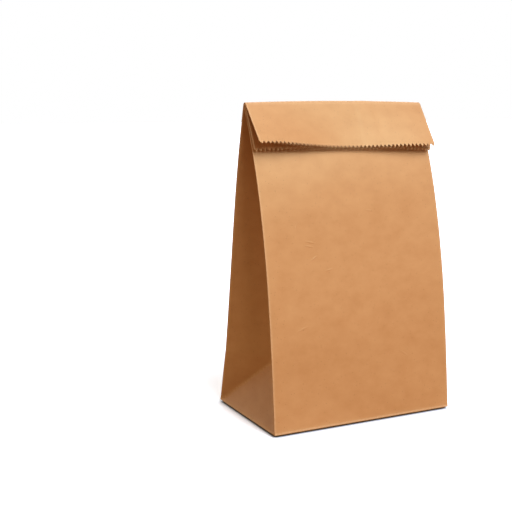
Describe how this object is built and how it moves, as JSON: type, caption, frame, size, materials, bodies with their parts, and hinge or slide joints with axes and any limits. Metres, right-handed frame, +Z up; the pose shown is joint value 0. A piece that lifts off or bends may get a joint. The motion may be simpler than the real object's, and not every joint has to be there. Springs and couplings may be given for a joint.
{
  "type": "paper lunch bag",
  "caption": "Standing brown paper lunch bag with side gussets, a flat block bottom and a saw-toothed mouth folded over to the front.",
  "frame": {"origin": "middle of the base, on the plane that the bag stands on", "axes": "+Z up from the base to the folded ridge, +X across the front panel, -Y out of the front panel, on whose side the mouth is folded over"},
  "size_m": [0.1302, 0.0802, 0.202],
  "materials": {
    "kraft_paper": "uncoated brown kraft, matt with a faint sheen"
  },
  "bodies": {
    "root": {"paper_bag": "kraft_paper"}
  },
  "joints": []
}
